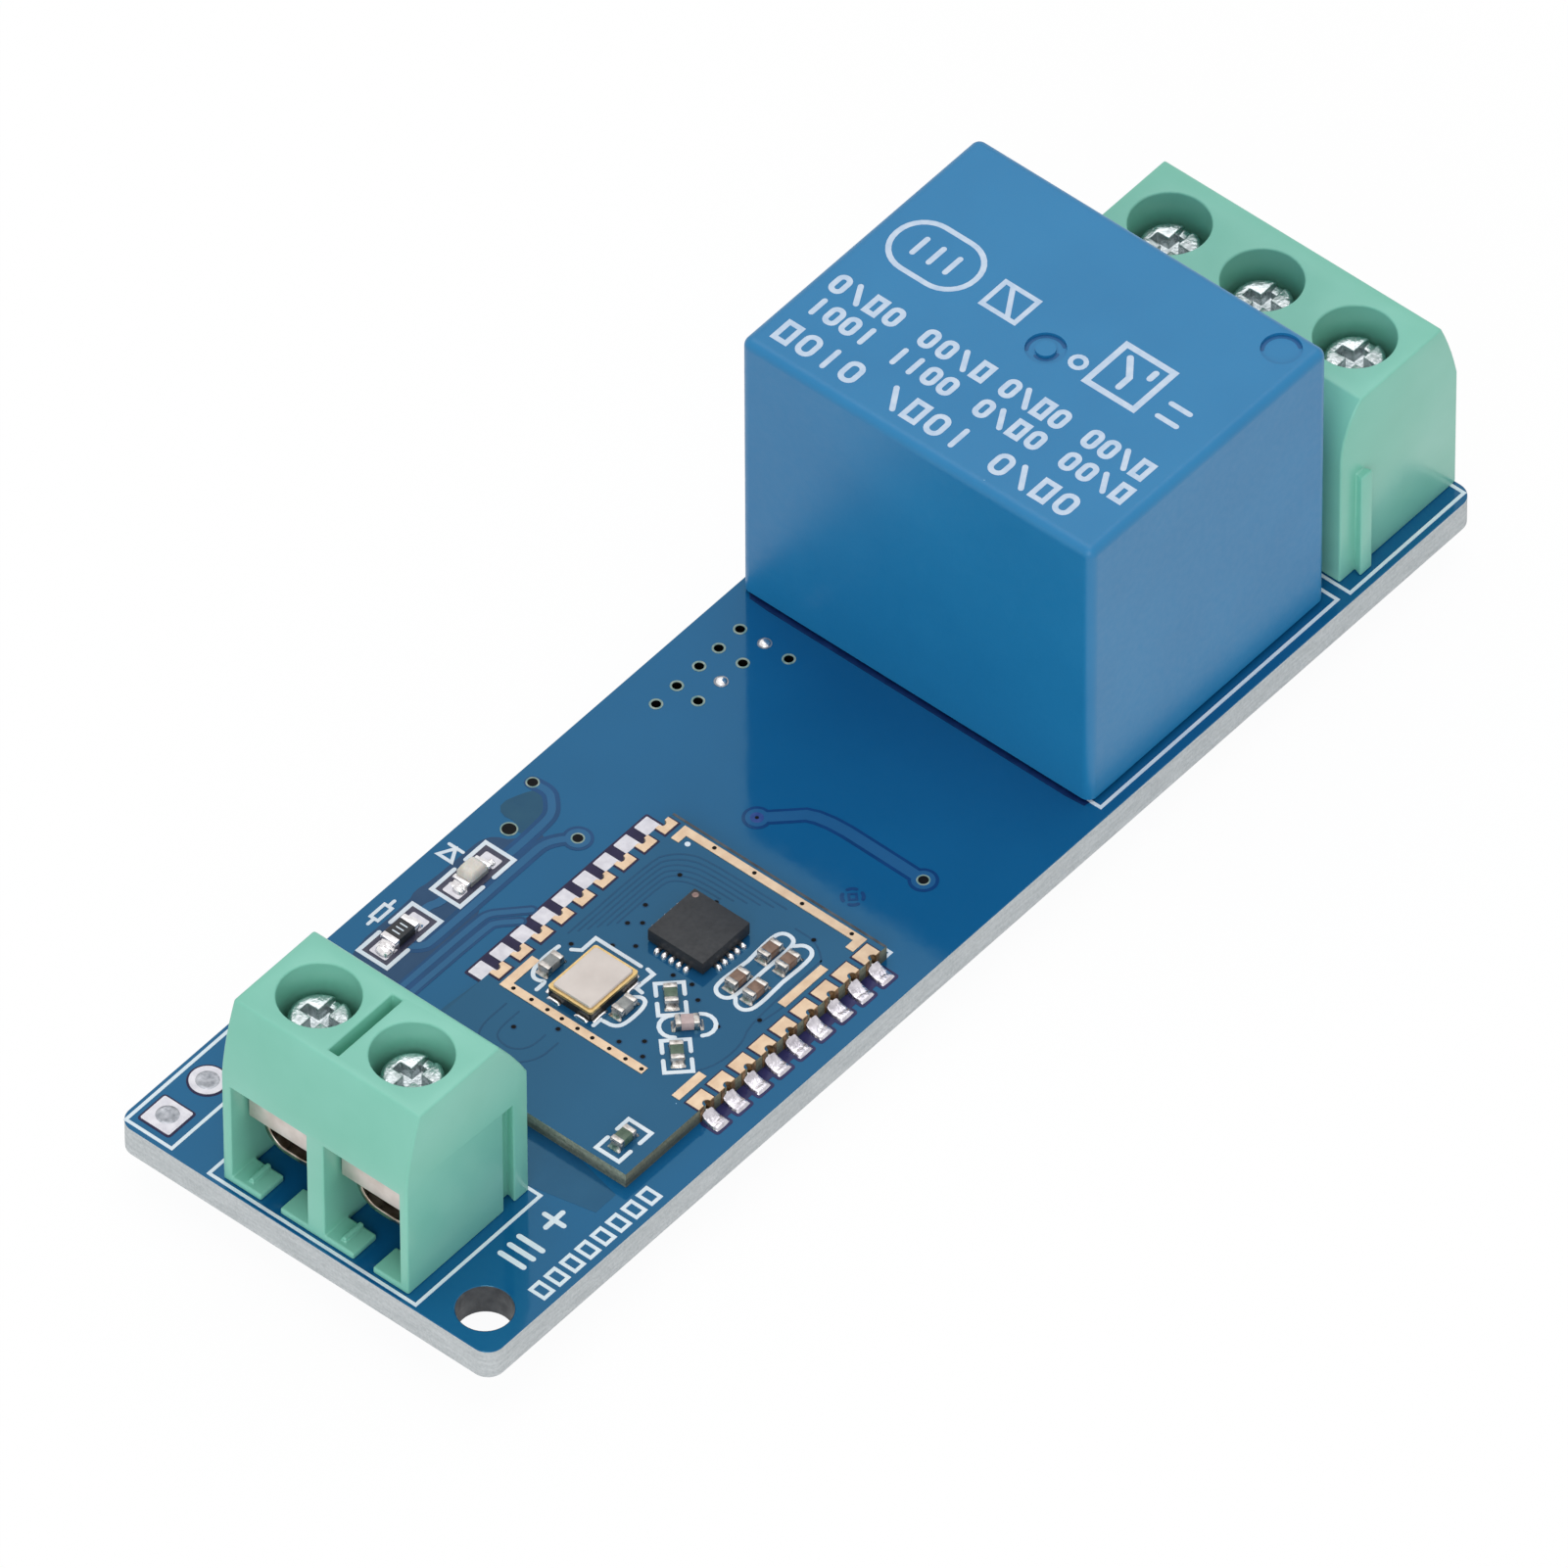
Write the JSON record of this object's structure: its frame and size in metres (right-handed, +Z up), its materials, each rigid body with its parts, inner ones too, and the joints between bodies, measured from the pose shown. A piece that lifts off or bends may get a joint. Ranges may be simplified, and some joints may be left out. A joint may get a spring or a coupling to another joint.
{
  "type": "relay module board",
  "caption": "Small circuit board carrying a sealed relay, a soldered-on radio board, and screw terminal blocks for supply and switched load.",
  "frame": {"origin": "under the middle of the board's outline, at the tips of the soldered pins on which the board stands", "axes": "+X along the board from the input terminal to the output terminal, +Y to the long edge with the indicator, +Z up"},
  "size_m": [0.064, 0.0206, 0.019],
  "materials": {
    "solder_mask": "glossy blue solder mask over glass-fibre board with frosted pale edges",
    "terminal_plastic": "satin pale sea-green moulded nylon",
    "relay_plastic": "satin mid-blue moulding",
    "inner_plastic": "plain dark moulding",
    "zinc_steel": "bright zinc plating",
    "tinned_metal": "dull tin plating",
    "solder": "bright solder",
    "bare_iron": "plain nickelled iron",
    "copper_wire": "enamelled copper winding",
    "contact_metal": "silvered contact metal",
    "gold_foil": "thin gold plating",
    "package_black": "matt black moulded package",
    "ceramic_tan": "brown ceramic",
    "ceramic_grey": "grey ceramic",
    "ceramic_green": "dark greenish ceramic",
    "ceramic_pink": "pale pinkish ceramic",
    "can_gold": "gold-rimmed ceramic can",
    "can_lid": "pale beige metal lid",
    "lens": "milky translucent lens"
  },
  "bodies": {
    "root": {"main_board": "solder_mask", "header_pads": "solder", "terminal_solder_joints": "solder", "relay_solder_joints": "solder", "indicator_base": "ceramic_grey", "indicator_lens": "lens", "indicator_ends": "solder", "resistor_body": "package_black", "resistor_ends": "solder", "radio_board": "solder_mask", "radio_pads": "gold_foil", "radio_ground_strips": "gold_foil", "radio_solder_joints": "solder", "radio_chip": "package_black", "radio_chip_leads": "solder", "crystal_base": "can_gold", "crystal_lid": "can_lid", "decoupling_capacitors": "ceramic_tan", "crystal_capacitors": "ceramic_grey", "matching_chips": "ceramic_green", "matching_coil": "ceramic_pink", "radio_chip_ends": "solder", "input_terminal_housing": "terminal_plastic", "output_terminal_housing": "terminal_plastic", "relay_cover": "relay_plastic", "relay_base": "relay_plastic", "relay_yoke": "bare_iron", "relay_core": "bare_iron", "relay_bobbin": "inner_plastic", "relay_coil": "copper_wire", "relay_coil_pins": "tinned_metal", "relay_common_pin": "tinned_metal", "relay_open_contact": "contact_metal", "relay_closed_contact": "contact_metal", "regulator_body": "package_black", "transistor_body": "package_black", "package_legs": "tinned_metal", "diode_body": "package_black", "under_resistors": "package_black", "under_capacitors": "ceramic_tan", "under_chip_ends": "solder", "clamp_frame_1": "tinned_metal", "clamp_frame_2": "tinned_metal", "clamp_frame_3": "tinned_metal", "clamp_frame_4": "tinned_metal", "clamp_frame_5": "tinned_metal"},
    "plate_1": {"clamp_plate_1": "tinned_metal"},
    "plate_2": {"clamp_plate_2": "tinned_metal"},
    "plate_3": {"clamp_plate_3": "tinned_metal"},
    "plate_4": {"clamp_plate_4": "tinned_metal"},
    "plate_5": {"clamp_plate_5": "tinned_metal"},
    "screw_1": {"clamp_screw_1": "zinc_steel"},
    "screw_2": {"clamp_screw_2": "zinc_steel"},
    "screw_3": {"clamp_screw_3": "zinc_steel"},
    "screw_4": {"clamp_screw_4": "zinc_steel"},
    "screw_5": {"clamp_screw_5": "zinc_steel"},
    "armature": {"relay_armature": "bare_iron", "relay_contact_spring": "contact_metal", "relay_moving_contact": "contact_metal"}
  },
  "joints": [
    {"name": "plate_slide_1", "type": "slide", "parent": "root", "child": "plate_1", "axis": [0, 0, 1], "range_m": [-0.00112, 0.0009]},
    {"name": "screw_turn_1", "type": "hinge", "parent": "plate_1", "child": "screw_1", "pos_m": [-0.0282, -0.00287, 0.0115], "axis": [0, 0, 1], "range_deg": [-900, 720]},
    {"name": "plate_slide_2", "type": "slide", "parent": "root", "child": "plate_2", "axis": [0, 0, 1], "range_m": [-0.00112, 0.0009]},
    {"name": "screw_turn_2", "type": "hinge", "parent": "plate_2", "child": "screw_2", "pos_m": [-0.0282, 0.00221, 0.0115], "axis": [0, 0, 1], "range_deg": [-900, 720]},
    {"name": "plate_slide_3", "type": "slide", "parent": "root", "child": "plate_3", "axis": [0, 0, 1], "range_m": [-0.00112, 0.0009]},
    {"name": "screw_turn_3", "type": "hinge", "parent": "plate_3", "child": "screw_3", "pos_m": [0.02822, -0.00665, 0.0115], "axis": [0, 0, 1], "range_deg": [-900, 720]},
    {"name": "plate_slide_4", "type": "slide", "parent": "root", "child": "plate_4", "axis": [0, 0, 1], "range_m": [-0.00112, 0.0009]},
    {"name": "screw_turn_4", "type": "hinge", "parent": "plate_4", "child": "screw_4", "pos_m": [0.02822, -0.00157, 0.0115], "axis": [0, 0, 1], "range_deg": [-900, 720]},
    {"name": "plate_slide_5", "type": "slide", "parent": "root", "child": "plate_5", "axis": [0, 0, 1], "range_m": [-0.00112, 0.0009]},
    {"name": "screw_turn_5", "type": "hinge", "parent": "plate_5", "child": "screw_5", "pos_m": [0.02822, 0.00351, 0.0115], "axis": [0, 0, 1], "range_deg": [-900, 720]},
    {"name": "armature_pull", "type": "hinge", "parent": "root", "child": "armature", "pos_m": [0.01545, -0.00593, 0.0156], "axis": [1, 0, 0], "range_deg": [-3, 0], "stiffness_Nm_per_rad": 0.002, "springref_deg": 17.19}
  ],
  "couplings": [
    {"joint": "screw_turn_1", "follows": "plate_slide_1", "rad_per_m": 13963},
    {"joint": "screw_turn_2", "follows": "plate_slide_2", "rad_per_m": 13963},
    {"joint": "screw_turn_3", "follows": "plate_slide_3", "rad_per_m": 13963},
    {"joint": "screw_turn_4", "follows": "plate_slide_4", "rad_per_m": 13963},
    {"joint": "screw_turn_5", "follows": "plate_slide_5", "rad_per_m": 13963}
  ]
}
